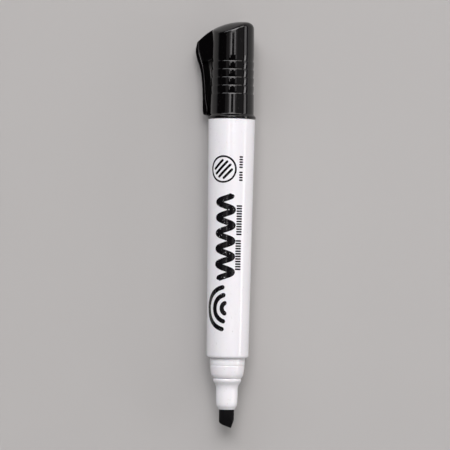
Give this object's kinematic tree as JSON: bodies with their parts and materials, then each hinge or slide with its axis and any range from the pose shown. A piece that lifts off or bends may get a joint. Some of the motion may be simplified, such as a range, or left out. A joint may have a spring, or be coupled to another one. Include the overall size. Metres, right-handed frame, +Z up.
{
  "type": "whiteboard marker",
  "caption": "Dry-wipe marker with a tapered white barrel, stepped nib holder, black chisel nib and a black clip cap with a slanted top posted on the rear end.",
  "frame": {"origin": "middle of the flat at the bottom of the cap's mouth flange, straight below the marker's axis, on the surface that the marker lies on", "axes": "+Z up; +Y along the marker's axis towards the closed end of the posted cap, with the nib towards -Y; the cap's clip is on the -X side, turned down about 27 degrees"},
  "size_m": [0.024, 0.1557, 0.0185],
  "materials": {
    "barrel_plastic": "glossy white moulding with a black print",
    "section_plastic": "glossy white moulding",
    "nib_felt": "pressed felt soaked in black ink",
    "reservoir_fibre": "bundled fibre soaked in black ink",
    "sheath_film": "thin clear film",
    "plug_plastic": "white moulding",
    "cap_plastic": "glossy black moulding",
    "seal_plastic": "soft translucent white moulding"
  },
  "bodies": {
    "marker": {"barrel": "barrel_plastic", "front_section": "section_plastic", "nib": "nib_felt", "ink_reservoir": "reservoir_fibre", "reservoir_sheath": "sheath_film", "tail_plug": "plug_plastic"},
    "cap": {"cap_shell": "cap_plastic", "cap_inner_seal": "seal_plastic"}
  },
  "joints": [
    {"name": "cap_slide", "type": "slide", "parent": "marker", "child": "cap", "axis": [0, 1, 0], "range_m": [0, 0.016]}
  ]
}
